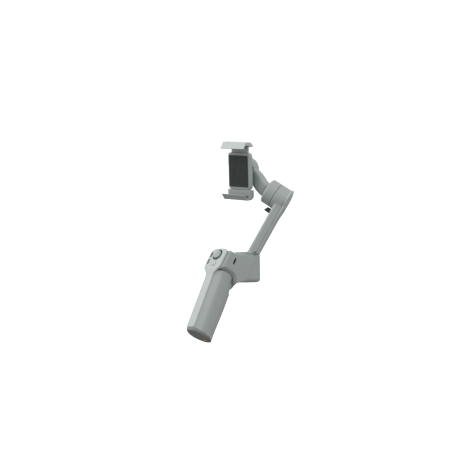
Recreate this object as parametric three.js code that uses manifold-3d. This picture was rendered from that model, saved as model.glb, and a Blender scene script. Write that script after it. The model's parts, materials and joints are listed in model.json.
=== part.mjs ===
// Three-axis handheld stabilizer for a telephone, unfolded and in use: handle leaning away from
// the user, inclined arm on the right, clamp level and open at the size of a telephone.
// Millimetres. +X is the user's right and the telephone's long edge, +Y points away from the user,
// +Z is up. The origin is the centre of the flat face under the handle.
import * as THREE from "three";
import { mergeVertices } from "three/addons/utils/BufferGeometryUtils.js";
import Module from "manifold-3d";

const wasm = await Module();
wasm.setup();

// ---------------------------------------------------------------- driving dimensions
const gap = 0.3; // between two pieces that touch
const wall = 2.2; // moulded shells
const round = 28; // segments of a large cylinder
const fine = 16; // segments of a small one

const lean = 35.4; // handle, top away from the user, degrees
const sideLean = 5.8; // handle, top towards the user's left
const twist = 4.5; // handle, about its own length
const panTilt = 27.5; // pan axis against the handle's length
const panAngle = 38; // arm about the pan axis, from the handle's right
const armLean = 30.4; // arm's length against the pan axis
const motorTip = 3.4; // tilt axis against the arm's cross direction

const grip = {
  halfWidth: 15, front: 22.7, back: 19.5, frontHalf: 7.5, backHalf: 5.5, sideFront: -9, sideBack: 6,
  bottom: 3.3, archTop: 99.3, archBack: 77.5, archFront: 82, capDrop: 1.2, round: 4,
};
const socket = { y: 10, radius: 4.5, bore: 3.1, low: -0.7, high: 11 }; // tripod insert in the foot
const cell = { radius: 8.9, low: 13.5, high: 79, places: [["front", -10.6], ["rear", 7.6]] };
const panel = {
  thick: 3, halfWidth: 16.3, bottom: 97, top: 130, corner: 6, lowY: -24.2, highY: -20.3,
  spineY: -22.9, spineHalf: 7.4, taperFrom: 82, slopeFrom: 84,
};
const controls = {
  joystick: { x: 1, up: 22.4, radius: 8.2 },
  button: { x: 1.6, up: 7.8, radius: 4.1 },
  keys: [{ name: "power_key", x: -11.7, up: 23 }, { name: "mode_key", x: -11.7, up: 11.2 }],
  keyHalfLength: 4, keyHalfWidth: 1.1, keyTop: 0.6, keyFoot: -4.2,
};
const head = { halfWidth: 19, chamferWidth: 2.7, chamferDepth: 8, bevel: 2, keelHalf: 7.4, keelSlope: 8 };
const usb = { y: -2.4, z: 118, halfLength: 4.8, halfWidth: 1.6, tilt: -0.09, depth: 8.5 };
const trigger = { halfWidth: 5.5, pivotY: 25.6, pivotZ: 102.6, pin: 1.3 };
const panHome = { y: 39.4, z: 131.85, radius: 18.3, low: -22.5, high: 17.7 };
// The rotor's disc on top of the pan motor, and the skirt that holds the magnets.
const panDisc = { radius: 19, thick: 5.3, edge: 1.4, skirt: 15.7, skirtInside: 14.5, skirtLow: -14.8 };
const tiltHome = { along: 43.1, up: 102.9 }; // tilt motor's seam, from the pan axis and up it
const motor = { radius: 18.7, rotorLength: 15.5, statorLength: 20.8 };
const motorFit = { tube: 6, bearing: 4.8, bearingLength: 2.6, shaft: 2.4, teeth: 9, slotHalf: 0.9 };
const arm = { inner: 5.4, outer: 17.4, halfWidth: 16.5, length: 80, foot: 26, shoulder: 12 };
const latch = { halfWidth: 5.2, low: -27.2, tab: 2.6, slotHalf: 3, slotLow: -31, slotHigh: -21 };
const clampCentre = { x: -35.4, y: 114.4, z: 223.3 }; // middle of the telephone's space
const phoneTop = 71.4 / 2; // edge of a telephone, from its middle
const jaw = {
  halfWidth: 23.5, lipY: -8, lipThick: 3.2, slantY: -2.3, shoulderY: 8, rise: 7, lowerRise: 6,
  overlap: 2.6, roof: 2, ease: 1.8,
};
const pad = { thick: 1.5, margin: 3 };
const plate = { front: 5.8, back: 12.8, halfWidth: 22, halfHeight: 27, corner: 6, slotFloor: -20 };
const tongue = { halfWidth: 17, front: 8.3, back: 10.9, low: -2 };
const spring = { x: 9, radius: 1.1, wire: 0.25, turns: 8, low: plate.slotFloor + 0.6, high: -2.6 };
const screw = { x: 16, radius: 1.3, headRadius: 2.2 };
const roll = { radius: 18, depth: 12.7, back: 30 };

// ---------------------------------------------------------------- solids
const radians = THREE.MathUtils.degToRad;

function solid(geometry) {
  const bare = geometry.index ? geometry.toNonIndexed() : geometry.clone();
  bare.deleteAttribute("normal");
  bare.deleteAttribute("uv");
  const merged = mergeVertices(bare, 1e-4);
  return new wasm.Manifold(
    new wasm.Mesh({
      numProp: 3,
      vertProperties: new Float32Array(merged.attributes.position.array),
      triVerts: new Uint32Array(merged.index.array),
    }),
  );
}

function geometryOf(body) {
  const mesh = body.getMesh();
  const geometry = new THREE.BufferGeometry();
  geometry.setAttribute("position", new THREE.BufferAttribute(mesh.vertProperties, 3));
  geometry.setIndex(new THREE.BufferAttribute(mesh.triVerts, 1));
  const flat = geometry.toNonIndexed();
  flat.computeVertexNormals();
  return flat;
}

const moved = (geometry, x, y, z) => geometry.clone().translate(x, y, z);

// Cylinder along z, from low to high.
function disc(radius, low, high, segments = round) {
  return new THREE.CylinderGeometry(radius, radius, high - low, segments)
    .rotateX(Math.PI / 2)
    .translate(0, 0, (low + high) / 2);
}

// Turned about z, from a closed or axis-to-axis profile of [radius, z] points.
function turned(points, segments = round) {
  const profile = points.map(([r, z]) => new THREE.Vector2(r, z));
  return new THREE.LatheGeometry(profile, segments).rotateX(Math.PI / 2);
}

function ring(outer, inner, low, high, segments = round) {
  return turned([[inner, low], [outer, low], [outer, high], [inner, high], [inner, low]], segments);
}

function box(x0, x1, y0, y1, z0, z1) {
  return new THREE.BoxGeometry(x1 - x0, y1 - y0, z1 - z0).translate(
    (x0 + x1) / 2, (y0 + y1) / 2, (z0 + z1) / 2,
  );
}

// Outline with each corner eased over `ease` millimetres.
function easedShape(points, ease) {
  const shape = new THREE.Shape();
  const corners = points.map(([x, y]) => new THREE.Vector2(x, y));
  corners.forEach((corner, i) => {
    const before = corners[(i + corners.length - 1) % corners.length];
    const after = corners[(i + 1) % corners.length];
    const into = corner.clone().sub(before);
    const out = after.clone().sub(corner);
    const reach = Math.min(ease, into.length() * 0.48, out.length() * 0.48);
    const start = corner.clone().sub(into.setLength(reach));
    const end = corner.clone().add(out.setLength(reach));
    if (i === 0) shape.moveTo(start.x, start.y);
    else shape.lineTo(start.x, start.y);
    shape.quadraticCurveTo(corner.x, corner.y, end.x, end.y);
  });
  shape.closePath();
  return shape;
}

// Outline in x and y, raised from low to high along z.
function raised(shape, low, high, options = {}) {
  const bevel = options.bevel || 0;
  return new THREE.ExtrudeGeometry(shape, {
    depth: high - low - 2 * bevel,
    curveSegments: options.curveSegments || 4,
    bevelEnabled: bevel > 0,
    bevelThickness: bevel,
    bevelSize: bevel,
    bevelOffset: -bevel,
    bevelSegments: options.bevelSegments || 2,
  }).translate(0, 0, low + bevel);
}

// Outline in y and z, from low to high along x.
function sideways(shape, low, high, options = {}) {
  return raised(shape, low, high, options).rotateX(Math.PI / 2).rotateZ(Math.PI / 2);
}

// Outline in x and z, from low to high along y.
function forwards(shape, low, high, options = {}) {
  return raised(shape, -high, -low, options).rotateX(Math.PI / 2);
}

function circle(radius) {
  const shape = new THREE.Shape();
  shape.absarc(0, 0, radius, 0, 2 * Math.PI, false);
  return shape;
}

const join = (...geometries) => geometries.map(solid).reduce((a, b) => a.add(b));

// ---------------------------------------------------------------- colours
const finish = (color, roughness, metalness = 0) =>
  new THREE.MeshStandardMaterial({ color, roughness, metalness });
const colours = {
  shell: finish(0x8f9694, 0.55),
  light: finish(0xc4cbc8, 0.5),
  pale: finish(0xa9b0ae, 0.5),
  dark: finish(0x5c6160, 0.6),
  black: finish(0x202223, 0.6),
  rubber: finish(0x2a2c2d, 0.85),
  steel: finish(0xb8bbbe, 0.3, 0.9),
  copper: finish(0xb06a3a, 0.4, 0.8),
  magnet: finish(0x55585c, 0.35, 0.8),
  brass: finish(0xc8a860, 0.35, 0.9),
  board: finish(0x1f5a3a, 0.6),
  cell: finish(0x3b5f8f, 0.5),
};

// The main body of a cut, without the slivers of no volume that it leaves.
function whole(body) {
  return body.decompose().reduce((best, part) => (part.volume() > best.volume() ? part : best));
}

const root = new THREE.Group();
function piece(group, name, body, colour) {
  const geometry = body.isBufferGeometry ? body : geometryOf(whole(body));
  const mesh = new THREE.Mesh(geometry, colours[colour]);
  mesh.name = name;
  group.add(mesh);
  return mesh;
}

// ---------------------------------------------------------------- frames
const handle = new THREE.Group();
handle.rotation.set(radians(-lean), radians(-sideLean), radians(-twist));
handle.position.set(0, 0, grip.capDrop).applyEuler(handle.rotation);
root.add(handle);

const panFrame = new THREE.Group();
panFrame.position.set(0, panHome.y, panHome.z);
panFrame.rotation.x = radians(panTilt);
handle.add(panFrame);

const armPlane = new THREE.Group();
armPlane.rotation.z = radians(panAngle);
panFrame.add(armPlane);

// x runs outwards along the tilt axis, z up the arm.
const armFrame = new THREE.Group();
armFrame.position.set(tiltHome.along, 0, tiltHome.up);
armFrame.rotation.y = radians(armLean);
armPlane.add(armFrame);

const clamp = new THREE.Group();
clamp.position.set(clampCentre.x, clampCentre.y, clampCentre.z);
root.add(clamp);

// ---------------------------------------------------------------- one motor
// z runs from the fixed base to the rotor. The base holds a tube with two bearings and the wound
// stator around it; the magnet ring and the shaft belong to the rotor.
function motorInside(fixedGroup, movingGroup, name, m) {
  const { tube, bearing, bearingLength, shaft, teeth, slotHalf } = motorFit;
  piece(fixedGroup, name + "_motor_base", join(
    ring(m.flange, 3.6, m.base, m.base + 2),
    ring(tube, bearing + gap, m.base + 1, m.top),
  ), "dark");
  const slots = Array.from({ length: teeth }, (_, i) =>
    box(tube + 3, m.stator + 1, -slotHalf, slotHalf, m.base + 3, m.top + 1)
      .rotateZ((i * 2 * Math.PI) / teeth));
  const wound = slots.reduce(
    (body, slot) => body.subtract(solid(slot)),
    solid(ring(m.stator, tube + gap, m.base + 4, m.top - 1)),
  );
  piece(fixedGroup, name + "_motor_stator", wound, "copper");
  for (const [end, low] of [["lower", m.base + 2.3], ["upper", m.top - 3]])
    piece(fixedGroup, name + "_bearing_" + end,
      ring(bearing, shaft + gap, low, low + bearingLength, fine), "steel");
  piece(movingGroup, name + "_magnet_ring",
    ring(m.magnet, m.stator + 0.5, m.base + 4, m.top - 1), "magnet");
  piece(movingGroup, name + "_shaft", disc(shaft, m.base + 0.6, m.shaftTop, fine), "steel");
}

// ---------------------------------------------------------------- handle
function gripSection(inset) {
  const w = grip.halfWidth - inset;
  const front = -grip.front + inset;
  const rear = grip.back - inset;
  const f = grip.frontHalf - inset * 0.4;
  const b = grip.backHalf - inset * 0.4;
  return easedShape([
    [-f, front], [f, front], [w, grip.sideFront], [w, grip.sideBack],
    [b, rear], [-b, rear], [-w, grip.sideBack], [-w, grip.sideFront],
  ], grip.round);
}

// The grip's upper edge, an arch on each side, seen from the side as y and z.
function gripSide(raise) {
  const shape = new THREE.Shape();
  const top = grip.archTop + raise;
  const back = grip.archBack + raise;
  const front = grip.archFront + raise;
  shape.moveTo(-30, grip.bottom);
  shape.lineTo(30, grip.bottom);
  shape.lineTo(30, back - 1.5);
  shape.lineTo(20, back);
  shape.bezierCurveTo(14, back + 16.5, 10, top, 0, top);
  shape.bezierCurveTo(-14, top, -20, front + 15, -22, front);
  shape.lineTo(-30, front - 2);
  shape.closePath();
  return shape;
}

// Front face, from the foot of the handle up to the thumb panel, as x and z.
function frontOutline(out, low) {
  const s = panel.spineHalf + out;
  const w = panel.halfWidth + out;
  const c = panel.corner;
  return easedShape([
    [-s, low], [s, low], [s, panel.taperFrom - out], [w, panel.bottom - out],
    [w, panel.top - c], [w - c, panel.top + out], [-w + c, panel.top + out],
    [-w, panel.top - c], [-w, panel.bottom - out], [-s, panel.taperFrom - out],
  ], 5);
}

// The strip's own thickness seen from the side, as y and z. For the room that it takes, `back` adds
// to its thickness behind, and the front is open.
function frontProfile(back, low) {
  const shape = new THREE.Shape();
  const deep = panel.thick + back;
  const ahead = back ? 5 : 0;
  shape.moveTo(panel.spineY - ahead, low);
  shape.lineTo(panel.spineY + deep, low);
  shape.lineTo(panel.spineY + deep, panel.slopeFrom);
  shape.lineTo(panel.lowY + deep, panel.bottom);
  shape.lineTo(panel.highY + deep, panel.top + 2);
  shape.lineTo(panel.highY - ahead, panel.top + 2);
  shape.lineTo(panel.lowY - ahead, panel.bottom);
  shape.lineTo(panel.spineY - ahead, panel.slopeFrom);
  shape.closePath();
  return shape;
}

const panelSlope = Math.atan2(panel.highY - panel.lowY, panel.top + 2 - panel.bottom);

// The thumb panel's own frame: z out of the panel towards the thumb, y up it.
const panelFrame = new THREE.Group();
panelFrame.position.set(0, panel.lowY, panel.bottom);
panelFrame.rotation.x = Math.PI / 2 - panelSlope;
handle.add(panelFrame);
panelFrame.updateMatrix();
const inPanel = (geometry) => geometry.applyMatrix4(panelFrame.matrix);

function keyShape(grow) {
  const w = controls.keyHalfWidth + grow;
  const h = controls.keyHalfLength + grow;
  return easedShape([[-w, -h], [w, -h], [w, h], [-w, h]], w * 0.9);
}

function makeFront() {
  const outline = solid(forwards(frontOutline(0, grip.bottom), -30, 0));
  let body = outline.intersect(solid(sideways(frontProfile(0, grip.bottom), -25, 25)));
  const stick = controls.joystick;
  const button = controls.button;
  const holes = [
    moved(disc(stick.radius, -6, 6), stick.x, stick.up, 0),
    moved(disc(button.radius + gap, -6, 6, fine), button.x, button.up, 0),
    ...controls.keys.map((key) => moved(raised(keyShape(gap), -6, 6), key.x, key.up, 0)),
  ];
  for (const hole of holes) body = body.subtract(solid(inPanel(hole)));
  piece(handle, "front_panel_and_spine", body, "light");
}

// The room that the front piece takes out of the pieces behind it.
const frontRoom = () =>
  solid(forwards(frontOutline(gap, 0), -40, 0)).intersect(solid(sideways(frontProfile(gap, 0), -30, 30)));
const rightHalf = (low, high) => solid(box(gap / 2, 40, -60, 90, low, high));
const leftHalf = (low, high) => solid(box(-40, -gap / 2, -60, 90, low, high));

function makeGrip() {
  const hull = solid(raised(gripSection(0), grip.bottom, 110))
    .subtract(solid(raised(gripSection(wall), 0, 111)))
    .intersect(solid(sideways(gripSide(0), -25, 25)))
    .subtract(frontRoom())
    .subtract(triggerRoom());
  piece(handle, "grip_shell_right", hull.intersect(rightHalf(0, 120)), "shell");
  piece(handle, "grip_shell_left", hull.intersect(leftHalf(0, 120)), "shell");
}

function makeBase() {
  const top = grip.bottom - gap;
  const plug = wall + 1.4; // the cap's lip stands inside the shells
  const cap = join(
    raised(gripSection(0.3), -grip.capDrop, top, { bevel: 1.3, bevelSegments: 1 }),
    raised(gripSection(plug), top - 1.4, grip.bottom + 3),
  )
    .subtract(solid(raised(gripSection(plug + 1.6), top, grip.bottom + 4)))
    .add(solid(moved(disc(socket.radius + 1.7, 0, socket.high + 1, fine), 0, socket.y, 0)))
    .subtract(solid(moved(disc(socket.radius + gap, -3, socket.high + 2, fine), 0, socket.y, 0)));
  piece(handle, "base_cap", cap, "dark");
  piece(handle, "tripod_insert",
    moved(ring(socket.radius, socket.bore, socket.low, socket.high, fine), 0, socket.y, 0), "brass");
}

function makeCells() {
  for (const [name, y] of cell.places)
    piece(handle, "battery_cell_" + name, moved(disc(cell.radius, cell.low, cell.high), 0, y, 0), "cell");
}

// Head and neck, as the side sees them, without the round pan housing, drawn in by `i`.
function headSide(i) {
  const front = panel.thick + gap - 2 * i; // the hollow is open towards the panel
  return easedShape([
    [panel.spineY + front, 76 + i], [panel.lowY + front, panel.bottom],
    [panel.highY + front, 129.5 - i],
    [-10, 130.5 - i], [-3, 131.8 - i], [16, 141.5 - i], [34, 141 - i], [34 - i, 106 + i],
    [21 - i, 90 + i], [19.5 - i, 76 + i],
  ], 3);
}

// Round the pan axis and straight forwards into the head, as x and y of the pan frame.
function neckPlan(inset) {
  const r = panHome.radius - inset;
  const shape = new THREE.Shape();
  shape.moveTo(-r, -44);
  shape.lineTo(r, -44);
  shape.lineTo(r, 0);
  shape.absarc(0, 0, r, 0, Math.PI, false);
  shape.closePath();
  return shape;
}

// The head's plan in the panel's frame: chamfers lead from the panel out to the full width.
function headPlan(inset) {
  const w = head.halfWidth - inset;
  const front = w - head.chamferWidth;
  const shape = new THREE.Shape();
  shape.moveTo(-front, 6);
  shape.lineTo(front, 6);
  shape.lineTo(front, 0);
  shape.lineTo(w, -head.chamferDepth);
  shape.lineTo(w, -90);
  shape.lineTo(-w, -90);
  shape.lineTo(-w, -head.chamferDepth);
  shape.lineTo(-front, 0);
  shape.closePath();
  return shape;
}

// Space for the finger below the neck, behind the trigger, as y and z.
function fingerRoom(i) {
  const shape = new THREE.Shape();
  shape.moveTo(33.4, 103 + i);
  shape.lineTo(62, 117.9 + i);
  shape.lineTo(62, 40);
  shape.lineTo(14 - i, 70);
  shape.lineTo(14 - i, 78);
  shape.quadraticCurveTo(18.4 - i, 85, 19.4 - i, 90 + i / 2);
  shape.quadraticCurveTo(23.5 - i, 98.5, 33.4 - i / 2, 103 + i);
  shape.closePath();
  return shape;
}

// At its sides the room reaches further forwards, so that the shell slopes in towards the trigger.
function sideRoom() {
  const shape = new THREE.Shape();
  shape.moveTo(36, 104);
  shape.lineTo(80, 127);
  shape.lineTo(80, 20);
  shape.lineTo(18, 56);
  shape.lineTo(9.5, 74);
  shape.lineTo(13.5, 84);
  shape.lineTo(15, 91);
  shape.lineTo(21, 97);
  shape.closePath();
  return shape;
}

function usbShape(grow) {
  const w = usb.halfWidth + grow;
  const h = usb.halfLength + grow;
  return easedShape([[-w, -h], [w, -h], [w, h], [-w, h]], w * 0.95);
}
const atUsb = (geometry) => geometry.rotateX(usb.tilt).translate(0, usb.y, usb.z);

// The trigger's concave finger face, as y and z, grown by `out` for its opening.
function triggerSide(out) {
  const shape = new THREE.Shape();
  shape.moveTo(29.8 + out, 101.4);
  shape.quadraticCurveTo(23.6 + out, 95.5, 21.4 + out, 87.5);
  shape.lineTo(17 + out, 80.4 - out);
  shape.lineTo(12.6 - out, 82.6 - out);
  shape.quadraticCurveTo(15 - out, 95, 21.6 - out, 104.8 + out);
  shape.lineTo(27.6 + out, 105.6 + out);
  shape.closePath();
  return shape;
}

const triggerRoom = () =>
  solid(sideways(triggerSide(0.6), -trigger.halfWidth - gap, trigger.halfWidth + gap));

function makeHead() {
  const w = head.halfWidth;
  const gripRoom = solid(sideways(gripSide(gap), -30, 30));
  panFrame.updateMatrix();
  const inPan = (geometry) => geometry.applyMatrix4(panFrame.matrix);
  const shape = { curveSegments: 14 };
  const slope = { bevel: head.keelSlope, bevelSegments: 1 };
  const keelSides = (half) => solid(sideways(sideRoom(), half, 50, slope))
    .add(solid(sideways(sideRoom(), -50, -half, slope)));
  const planRoom = (inset) => solid(inPanel(raised(headPlan(inset), -100, 60).rotateX(Math.PI / 2)));
  const outer = solid(sideways(headSide(0), -w, w, { bevel: head.bevel }))
    .add(solid(inPan(raised(neckPlan(0), panHome.low, panHome.high, { bevel: 3, ...shape }))))
    .intersect(planRoom(0))
    .subtract(solid(sideways(fingerRoom(0), -30, 30)))
    .subtract(keelSides(head.keelHalf))
    .subtract(solid(inPan(disc(panHome.radius + 1, panHome.high, panHome.high + 20))));
  const inner = solid(sideways(headSide(wall), -w + wall, w - wall))
    .add(solid(inPan(raised(neckPlan(wall), panHome.low + wall, panHome.high - wall, shape))))
    .intersect(planRoom(wall))
    .subtract(solid(sideways(fingerRoom(wall), -30, 30)))
    .subtract(keelSides(head.keelHalf - wall))
    .add(solid(inPan(disc(panHome.radius - wall, panHome.low + wall, panHome.high + 5, 40))));
  const usbHole = solid(atUsb(sideways(usbShape(gap), 5, 30)));
  const pinHole = solid(atTriggerPin(disc(trigger.pin + gap, -30, 30, fine)));
  const shell = outer.subtract(inner).subtract(frontRoom()).subtract(gripRoom)
    .subtract(usbHole).subtract(triggerRoom()).subtract(pinHole);
  piece(handle, "head_shell_right", shell.intersect(rightHalf(60, 180)), "shell");
  piece(handle, "head_shell_left", shell.intersect(leftHalf(60, 180)), "shell");
}

function makeHeadInside() {
  piece(handle, "main_board", box(-12, 12, -12.6, -11, 99.5, 126), "board");
  const port = solid(sideways(usbShape(-0.1), usb.depth, head.halfWidth - 0.6))
    .subtract(solid(sideways(usbShape(-0.6), usb.depth + 1.5, head.halfWidth + 1)));
  piece(handle, "usb_port", geometryOf(port).rotateX(usb.tilt).translate(0, usb.y, usb.z), "steel");

  const stick = controls.joystick;
  const base = solid(moved(disc(7.6, -6.4, -5.2, fine), stick.x, stick.up, 0))
    .add(solid(moved(ring(7.6, 6.2, -6, -2.6, fine), stick.x, stick.up, 0)));
  piece(panelFrame, "joystick_base", base, "black");
  piece(panelFrame, "joystick_ring", moved(ring(5.2, 4.1, -4.2, -3, fine), stick.x, stick.up, 0), "black");
  const cap = turned([
    [0, -4.6], [1.5, -4.6], [1.5, -0.6], [6.2, -0.6], [6.8, 0.2], [6.8, 1.6],
    [6, 2.4], [4.6, 2.1], [0, 1.5],
  ], 28);
  piece(panelFrame, "joystick_cap", moved(cap, stick.x, stick.up, 0), "shell");

  const button = controls.button;
  const r = button.radius;
  const press = turned([[0, -4.6], [2, -4.6], [2, -3.4], [r, -3.4], [r, 0.5], [r - 0.6, 1], [0, 0.8]], 24);
  piece(panelFrame, "round_button", moved(press, button.x, button.up, 0), "pale");
  for (const key of controls.keys)
    piece(panelFrame, key.name,
      moved(raised(keyShape(0), controls.keyFoot, controls.keyTop), key.x, key.up, 0), "dark");
}

const atTriggerPin = (geometry) =>
  geometry.rotateY(Math.PI / 2).translate(0, trigger.pivotY, trigger.pivotZ);

function makeTrigger() {
  const t = trigger;
  const blade = solid(sideways(triggerSide(0), -t.halfWidth, t.halfWidth, { bevel: 0.6, bevelSegments: 1 }))
    .subtract(solid(atTriggerPin(disc(t.pin + gap, -20, 20, fine))));
  piece(handle, "trigger", blade, "black");
  piece(handle, "trigger_pin", atTriggerPin(disc(t.pin, -t.halfWidth - 3, t.halfWidth + 3, fine)), "steel");
}

// ---------------------------------------------------------------- pan motor and arm
// The pan motor, and the rotor's disc, skirt and hub, which are one with the arm.
function makePan() {
  motorInside(panFrame, armPlane, "pan", {
    base: panHome.low + wall + gap, top: 7, flange: 13.5, stator: 12.2, magnet: 14.3, shaftTop: 17,
  });
  const top = panHome.high + gap;
  const end = top + panDisc.thick;
  const { radius, edge, skirt, skirtInside, skirtLow } = panDisc;
  const bore = motorFit.shaft + gap;
  return turned([
    [bore, 8], [4.6, 8], [4.6, 15], [skirtInside, 15], [skirtInside, skirtLow], [skirt, skirtLow],
    [skirt, top], [radius, top], [radius, end - edge], [radius - edge, end], [0, end],
    [0, 17.3], [bore, 17.3], [bore, 8],
  ]);
}

function barPlan(halfWidth, from, to, ease) {
  return easedShape([[from, -halfWidth], [to, -halfWidth], [to, halfWidth], [from, halfWidth]], ease);
}

function makeArm() {
  const rotor = makePan();
  armFrame.updateMatrix();
  const inPlane = (geometry) => geometry.applyMatrix4(armFrame.matrix);
  const discTop = panHome.high + gap + panDisc.thick;
  const w = arm.halfWidth;

  // Everything here is cut off at the rotor's disc, so that the arm grows out of it.
  const aboveDisc = solid(box(-60, 120, -40, 40, discTop - 0.8, 180));
  const bar = raised(barPlan(w, arm.inner, arm.outer, 3.5), -arm.length - arm.foot, -4);
  const atMotor = (geometry) => geometry.rotateY(Math.PI / 2 + radians(motorTip));
  const drum = atMotor(disc(motor.radius, 0, arm.outer - 1.2, 40));
  const drumRoom = atMotor(disc(motor.radius - wall, -1, arm.outer - 3.4, 40));
  const channel = raised(barPlan(w - wall, arm.inner + wall, arm.outer + 5, 2), -arm.length + 2, -6);
  const latchSlot = box(arm.inner - 2, arm.inner + wall + 1, -latch.slotHalf, latch.slotHalf,
    latch.slotLow, latch.slotHigh);

  const shell = solid(inPlane(bar)).intersect(aboveDisc)
    .add(solid(inPlane(drum)))
    .subtract(solid(inPlane(drumRoom)))
    .subtract(solid(inPlane(channel)))
    .subtract(solid(inPlane(latchSlot)));
  piece(armPlane, "arm_frame", shell.add(solid(rotor)), "shell");
}

function makeArmParts() {
  const w = arm.halfWidth;
  const r = motor.radius;
  const start = Math.asin(-8 / r); // where the cover's round end meets its straight sides
  const flat = new THREE.Shape();
  flat.moveTo(-w + 1, -arm.length);
  flat.lineTo(w - 1, -arm.length);
  flat.lineTo(w, -arm.length + 2);
  flat.lineTo(w, -arm.shoulder);
  flat.absarc(0, 0, r, start, Math.PI - start, false);
  flat.lineTo(-w, -arm.shoulder);
  flat.lineTo(-w, -arm.length + 2);
  flat.closePath();
  // The outline lies in the arm's y and z, and its thickness runs outwards along x.
  const cover = raised(flat, arm.outer + gap, motor.statorLength, { bevel: 1.1, curveSegments: 20 })
    .rotateX(Math.PI / 2).rotateZ(Math.PI / 2);
  piece(armFrame, "arm_outer_cover", cover, "pale");
  piece(armFrame, "arm_ribbon_cable",
    box(arm.inner + wall + 3, arm.inner + wall + 3.6, -6, 6, -arm.length + 6, -21), "rubber");
  piece(armFrame, "motor_driver_board",
    box(arm.outer - 3.6, arm.outer - 2, -11, 11, -66, -30), "board");
  const slider = join(
    box(-3.2, arm.inner - gap, -latch.halfWidth, latch.halfWidth, latch.low, -motor.radius - 1.2),
    box(arm.inner - 1, arm.inner + wall + 0.6, -latch.tab, latch.tab, latch.low + 1.6, latch.slotHigh - 0.4),
  );
  piece(armFrame, "motor_lock_slider", slider, "black");
}

// ---------------------------------------------------------------- tilt motor and elbow
const tiltMotor = new THREE.Group();
tiltMotor.rotation.y = -Math.PI / 2 + radians(motorTip); // z runs inwards, from the arm to the rotor
armFrame.add(tiltMotor);

function makeTilt() {
  motorInside(tiltMotor, tiltMotor, "tilt", {
    base: -8.5, top: 11.5, flange: 15.5, stator: 13, magnet: 15.6, shaftTop: 12.6,
  });
  const end = motor.rotorLength;
  const lid = end - 2.6;
  const outside = motor.radius;
  const inside = outside - wall;
  const bore = motorFit.shaft + gap;
  return turned([
    [0, lid + 0.1], [bore, lid + 0.1], [bore, lid - 1.4], [4.4, lid - 1.4], [4.4, lid], [inside, lid],
    [inside, gap], [outside, gap], [outside, end - 2.2], [outside - 2.2, end], [0, end],
  ], 40);
}

// Stub from the tilt rotor's end to the back of the roll motor.
function makeElbow() {
  const cup = makeTilt();
  root.updateMatrixWorld(true);
  const toClamp = clamp.matrixWorld.clone().invert().multiply(tiltMotor.matrixWorld);
  const rotorEnd = new THREE.Vector3(0, 0, motor.rotorLength - 1.5).applyMatrix4(toClamp);
  const inwards = new THREE.Vector3(0, 0, 1).transformDirection(toClamp);
  const middle = new THREE.Vector3(0, roll.back - 6.5, 0);
  const path = new THREE.CatmullRomCurve3([
    rotorEnd, rotorEnd.clone().addScaledVector(inwards, 7),
    middle.clone().add(new THREE.Vector3(17, 1, -10)), middle.clone().add(new THREE.Vector3(4, 0, -3)),
  ]);
  const section = easedShape([[-6, -11], [6, -11], [6, 11], [-6, 11]], 4);
  const stub = new THREE.ExtrudeGeometry(section, {
    steps: 7, curveSegments: 3, extrudePath: path, bevelEnabled: false,
  });
  const atRoll = (geometry) => geometry.rotateX(Math.PI / 2).translate(0, roll.back, 0);
  const house = raised(circle(roll.radius), -1.5, roll.depth - 2, { bevel: 1.2, curveSegments: 10 });
  const cavity = disc(roll.radius - wall, wall, roll.depth + 4, 40);
  const cupRoom = disc(motor.radius + 1, -20, motor.rotorLength - 1.4, 40).applyMatrix4(toClamp);
  const body = join(stub, atRoll(house))
    .subtract(solid(atRoll(cavity)))
    .subtract(solid(cupRoom))
    .add(solid(cup.clone().applyMatrix4(toClamp)));
  piece(clamp, "tilt_rotor_and_elbow", body, "shell");
}

// ---------------------------------------------------------------- roll motor and clamp
const rollMotor = new THREE.Group();
rollMotor.rotation.x = Math.PI / 2; // z runs towards the user, from the elbow to the clamp
rollMotor.position.set(0, roll.back, 0);
clamp.add(rollMotor);

function makeRoll() {
  motorInside(rollMotor, rollMotor, "roll", {
    base: wall + gap, top: 11, flange: 14, stator: 12, magnet: 14.2, shaftTop: roll.depth + 2.4,
  });
}

function makeRollRotor() {
  const front = roll.back - plate.back - gap; // where the clamp's back plate is bolted on
  const disk = roll.depth + gap;
  const bore = motorFit.shaft + gap;
  piece(rollMotor, "roll_rotor", turned([
    [bore, 11.5], [4.6, 11.5], [4.6, disk + 0.2], [14.5, disk + 0.2], [14.5, 5], [15.4, 5], [15.4, disk],
    [roll.radius, disk], [roll.radius, front], [0, front], [0, disk + 2.7], [bore, disk + 2.7],
    [bore, 11.5],
  ]), "shell");
}

// Hooked jaw seen from the side as y and z: it goes round the telephone's edge and a little over
// its face. `side` is 1 for the upper jaw and -1 for the lower one, `leg` where its back leg ends.
function hookShape(side, leg) {
  const rise = phoneTop + (side > 0 ? jaw.rise : jaw.lowerRise);
  const roof = phoneTop + jaw.roof;
  const tip = phoneTop - jaw.overlap;
  const lip = jaw.lipY + jaw.lipThick;
  return easedShape([
    [plate.back, leg], [plate.back, roof], [jaw.shoulderY, rise], [jaw.slantY, rise],
    [jaw.lipY, tip], [lip, tip], [lip + 0.1, phoneTop - 0.5], [lip + 1.9, roof],
    [plate.front, roof], [plate.front, leg],
  ].map(([y, z]) => [y, side * z]), jaw.ease);
}

// Thin pad under a jaw's roof, a hair clear of the telephone's edge.
function jawPad(side) {
  const near = side * (phoneTop + 0.2);
  const far = side * (phoneTop + 0.2 + pad.thick);
  return box(-jaw.halfWidth + pad.margin, jaw.halfWidth - pad.margin, jaw.lipY + 6.2, plate.front - 1.4,
    Math.min(near, far), Math.max(near, far));
}

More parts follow.
